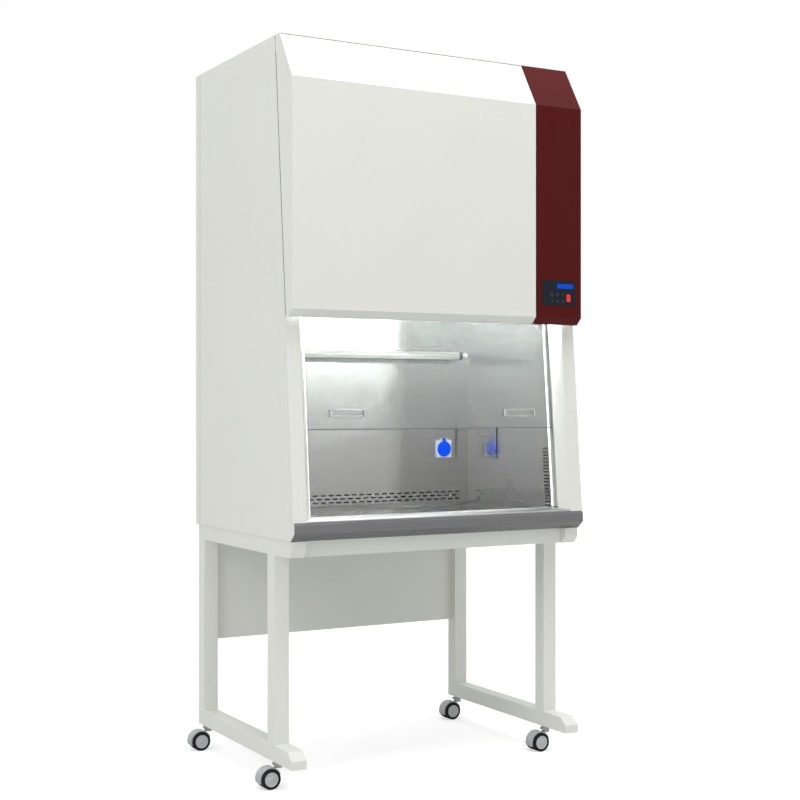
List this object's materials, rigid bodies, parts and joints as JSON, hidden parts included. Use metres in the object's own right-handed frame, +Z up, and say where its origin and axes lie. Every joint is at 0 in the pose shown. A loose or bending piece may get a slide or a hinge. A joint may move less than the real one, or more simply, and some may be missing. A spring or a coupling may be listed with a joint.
{
  "type": "biosafety cabinet",
  "caption": "Free-standing biosafety cabinet: white sheet-metal housing with a sliding glass sash, stainless chamber and dark red console, on a tube stand with swivel casters.",
  "frame": {"origin": "on the floor, under the middle of the whole assembly's box", "axes": "+Z up, +Y from the front to the rear, +X to the right as seen from the front"},
  "size_m": [1.0894, 0.7846, 2.285],
  "materials": {
    "white_paint": "fine textured powder coat",
    "maroon_paint": "satin powder coat",
    "zinc_sheet": "zinc plated",
    "stainless_steel": "brushed along the sheet",
    "black_membrane": "printed membrane",
    "blue_display": "lit display window",
    "key_silver": "moulded",
    "red_switch": "moulded",
    "lamp_enamel": "white enamel",
    "lamp_glass": "lamp tube",
    "lamp_metal": "bright plated",
    "socket_white": "moulded",
    "socket_blue": "moulded",
    "clear_glass": "laminated, clear",
    "satin_aluminium": "satin",
    "steel_cable": "stranded",
    "weight_steel": "mill finish",
    "filter_paper": "pleated glass paper",
    "motor_paint": "black paint",
    "black_plastic": "moulded",
    "caster_grey": "moulded",
    "caster_tyre": "soft tread on a grey hub"
  },
  "bodies": {
    "cabinet": {"left_side_panel": "white_paint", "right_side_panel": "white_paint", "rear_panel": "white_paint", "top_panel": "white_paint", "base_pan": "zinc_sheet", "left_front_post": "white_paint", "right_front_post": "white_paint", "sash_guides": "white_paint", "console_cover": "maroon_paint", "control_panel": "black_membrane", "lcd_window": "blue_display", "work_lamp": "lamp_enamel", "armrest": "stainless_steel", "front_grille": "stainless_steel", "work_surface": "stainless_steel", "left_inner_wall": "stainless_steel", "right_inner_wall": "stainless_steel", "back_wall": "stainless_steel", "ceiling_diffuser": "stainless_steel", "service_plate": "stainless_steel", "uv_lamp_tube": "lamp_glass", "uv_lamp_holders": "lamp_metal", "socket_frame": "socket_white", "sash_cables": "steel_cable", "counterweight_cables": "steel_cable", "shaft_bearings": "satin_aluminium", "supply_filter": "filter_paper", "plenum_box": "zinc_sheet", "fan_motor": "motor_paint", "exhaust_filter": "filter_paper", "power_inlet": "black_plastic", "left_side_frame": "white_paint", "right_side_frame": "white_paint", "front_cross_rail": "white_paint", "modesty_panel": "white_paint", "caster_stems": "lamp_metal"},
    "hood": {"hood_cover": "white_paint"},
    "key_1": {"key_1": "key_silver"},
    "key_2": {"key_2": "key_silver"},
    "key_3": {"key_3": "key_silver"},
    "key_4": {"key_4": "key_silver"},
    "key_5": {"key_5": "key_silver"},
    "key_6": {"key_6": "key_silver"},
    "power_switch": {"power_switch": "red_switch"},
    "sash": {"sash_glass": "clear_glass", "sash_handles": "satin_aluminium", "sash_carrier": "satin_aluminium"},
    "counterweights": {"counterweights": "weight_steel"},
    "pulleys": {"pulley_shaft": "weight_steel"},
    "fan": {"fan_impeller": "satin_aluminium"},
    "flap": {"socket_flap": "socket_blue"},
    "front_left_fork": {"front_left_fork": "caster_grey"},
    "front_left_wheels": {"front_left_wheels": "caster_tyre"},
    "front_right_fork": {"front_right_fork": "caster_grey"},
    "front_right_wheels": {"front_right_wheels": "caster_tyre"},
    "rear_left_fork": {"rear_left_fork": "caster_grey"},
    "rear_left_wheels": {"rear_left_wheels": "caster_tyre"},
    "rear_right_fork": {"rear_right_fork": "caster_grey"},
    "rear_right_wheels": {"rear_right_wheels": "caster_tyre"}
  },
  "joints": [
    {"name": "hood_hinge", "type": "hinge", "parent": "cabinet", "child": "hood", "pos_m": [0.01975, -0.26509, 2.277], "axis": [-1, 0, 0], "range_deg": [0, 65]},
    {"name": "sash_slide", "type": "slide", "parent": "cabinet", "child": "sash", "axis": [0, 0.0889, 0.996], "range_m": [-0.26, 0.33], "deforming": ["sash_cables"]},
    {"name": "counterweight_slide", "type": "slide", "parent": "cabinet", "child": "counterweights", "axis": [0, 0, 1], "range_m": [-0.335, 0.265], "deforming": ["counterweight_cables"]},
    {"name": "pulley_turn", "type": "hinge", "parent": "cabinet", "child": "pulleys", "pos_m": [0.01975, -0.16088, 2.201], "axis": [-1, 0, 0], "range_deg": [-250, 317]},
    {"name": "fan_spin", "type": "hinge", "parent": "cabinet", "child": "fan", "pos_m": [0.01975, 0.0873, 1.8809], "axis": [0, 1, 0], "continuous": true},
    {"name": "flap_hinge", "type": "hinge", "parent": "cabinet", "child": "flap", "pos_m": [0.36275, 0.1935, 1.0437], "axis": [-1, 0, 0], "range_deg": [0, 100], "stiffness_Nm_per_rad": 0.005},
    {"name": "key_1_press", "type": "slide", "parent": "cabinet", "child": "key_1", "axis": [0, 1, 0], "range_m": [0, 0.0008], "stiffness_N_per_m": 400},
    {"name": "key_2_press", "type": "slide", "parent": "cabinet", "child": "key_2", "axis": [0, 1, 0], "range_m": [0, 0.0008], "stiffness_N_per_m": 400},
    {"name": "key_3_press", "type": "slide", "parent": "cabinet", "child": "key_3", "axis": [0, 1, 0], "range_m": [0, 0.0008], "stiffness_N_per_m": 400},
    {"name": "key_4_press", "type": "slide", "parent": "cabinet", "child": "key_4", "axis": [0, 1, 0], "range_m": [0, 0.0008], "stiffness_N_per_m": 400},
    {"name": "key_5_press", "type": "slide", "parent": "cabinet", "child": "key_5", "axis": [0, 1, 0], "range_m": [0, 0.0008], "stiffness_N_per_m": 400},
    {"name": "key_6_press", "type": "slide", "parent": "cabinet", "child": "key_6", "axis": [0, 1, 0], "range_m": [0, 0.0008], "stiffness_N_per_m": 400},
    {"name": "power_switch_press", "type": "slide", "parent": "cabinet", "child": "power_switch", "axis": [0, 1, 0], "range_m": [0, 0.0012], "stiffness_N_per_m": 400},
    {"name": "front_left_swivel", "type": "hinge", "parent": "cabinet", "child": "front_left_fork", "pos_m": [-0.47625, -0.2177, 0.084], "axis": [0, 0, 1], "continuous": true},
    {"name": "front_left_roll", "type": "hinge", "parent": "front_left_fork", "child": "front_left_wheels", "pos_m": [-0.50925, -0.2177, 0.031], "axis": [0, 1, 0], "continuous": true},
    {"name": "front_right_swivel", "type": "hinge", "parent": "cabinet", "child": "front_right_fork", "pos_m": [0.51575, -0.2177, 0.084], "axis": [0, 0, 1], "continuous": true},
    {"name": "front_right_roll", "type": "hinge", "parent": "front_right_fork", "child": "front_right_wheels", "pos_m": [0.48275, -0.2177, 0.031], "axis": [0, 1, 0], "continuous": true},
    {"name": "rear_left_swivel", "type": "hinge", "parent": "cabinet", "child": "rear_left_fork", "pos_m": [-0.47625, 0.3523, 0.084], "axis": [0, 0, 1], "continuous": true},
    {"name": "rear_left_roll", "type": "hinge", "parent": "rear_left_fork", "child": "rear_left_wheels", "pos_m": [-0.50925, 0.3523, 0.031], "axis": [0, 1, 0], "continuous": true},
    {"name": "rear_right_swivel", "type": "hinge", "parent": "cabinet", "child": "rear_right_fork", "pos_m": [0.51575, 0.3523, 0.084], "axis": [0, 0, 1], "continuous": true},
    {"name": "rear_right_roll", "type": "hinge", "parent": "rear_right_fork", "child": "rear_right_wheels", "pos_m": [0.48275, 0.3523, 0.031], "axis": [0, 1, 0], "continuous": true}
  ],
  "couplings": [
    {"joint": "counterweight_slide", "follows": "sash_slide", "ratio": -1},
    {"joint": "pulley_turn", "follows": "sash_slide", "rad_per_m": 16.667}
  ]
}
